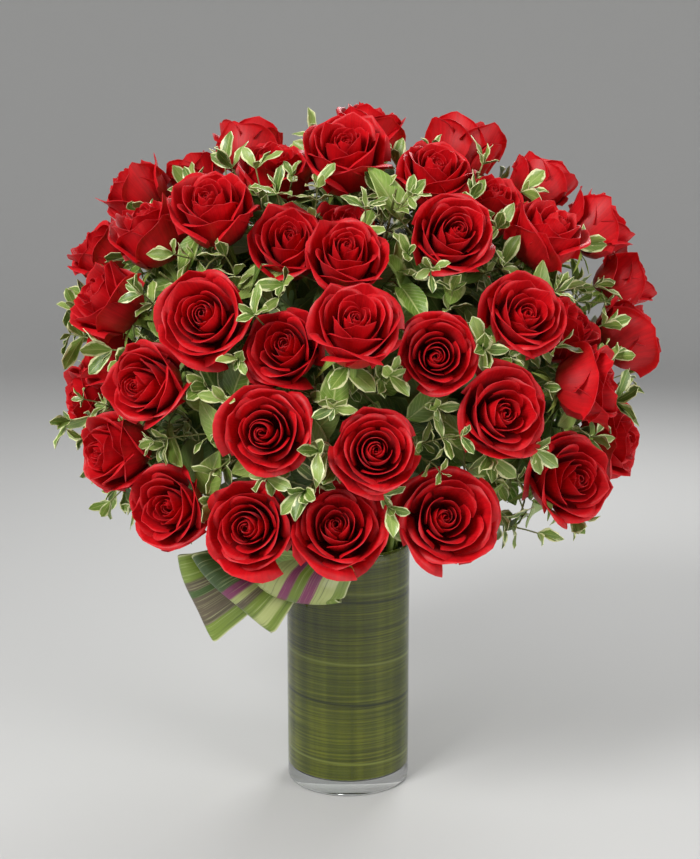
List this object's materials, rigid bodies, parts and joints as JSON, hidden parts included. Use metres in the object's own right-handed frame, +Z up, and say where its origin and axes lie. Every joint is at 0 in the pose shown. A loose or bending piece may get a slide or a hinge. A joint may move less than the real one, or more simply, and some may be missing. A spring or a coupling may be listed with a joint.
{
  "type": "roses in a vase",
  "caption": "Dome of long-stemmed roses with leafy branches and folded striped leaves, standing in a straight clear glass cylinder vase lined with wound leaves; a table or floor display.",
  "frame": {"origin": "middle of the vase's underside, on the surface that it stands on", "axes": "+Z up along the vase's axis, -Y out of the front of the bouquet, +X to the right as seen from the front"},
  "size_m": [0.5938, 0.5519, 0.696],
  "materials": {
    "rose": "velvety crimson petals on a smooth green stem",
    "foliage": "waxy green leaves, some with cream margins",
    "ti_leaf": "satin strap leaf striped green, yellow and purple",
    "lining": "satin green leaf with pale veins",
    "vase": "clear polished glass"
  },
  "bodies": {
    "root": {"vase": "vase", "lining_leaf_low": "lining", "lining_leaf_middle": "lining", "lining_leaf_high": "lining", "ti_leaf_back": "ti_leaf", "ti_leaf_middle": "ti_leaf", "ti_leaf_front": "ti_leaf", "rose_01": "rose", "rose_02": "rose", "rose_03": "rose", "rose_04": "rose", "rose_05": "rose", "rose_06": "rose", "rose_07": "rose", "rose_08": "rose", "rose_09": "rose", "rose_10": "rose", "rose_11": "rose", "rose_12": "rose", "rose_13": "rose", "rose_14": "rose", "rose_15": "rose", "rose_16": "rose", "rose_17": "rose", "rose_18": "rose", "rose_19": "rose", "rose_20": "rose", "rose_21": "rose", "rose_22": "rose", "rose_23": "rose", "rose_24": "rose", "rose_25": "rose", "rose_26": "rose", "rose_27": "rose", "rose_28": "rose", "rose_29": "rose", "rose_30": "rose", "rose_31": "rose", "rose_32": "rose", "rose_33": "rose", "rose_34": "rose", "rose_35": "rose", "rose_36": "rose", "rose_37": "rose", "rose_38": "rose", "rose_39": "rose", "rose_40": "rose", "rose_41": "rose", "rose_42": "rose", "rose_43": "rose", "rose_44": "rose", "rose_45": "rose", "rose_46": "rose", "rose_47": "rose", "rose_48": "rose", "pittosporum_branch_1": "foliage", "pittosporum_branch_2": "foliage", "pittosporum_branch_3": "foliage", "salal_branch_1": "foliage", "salal_branch_2": "foliage"}
  },
  "joints": []
}
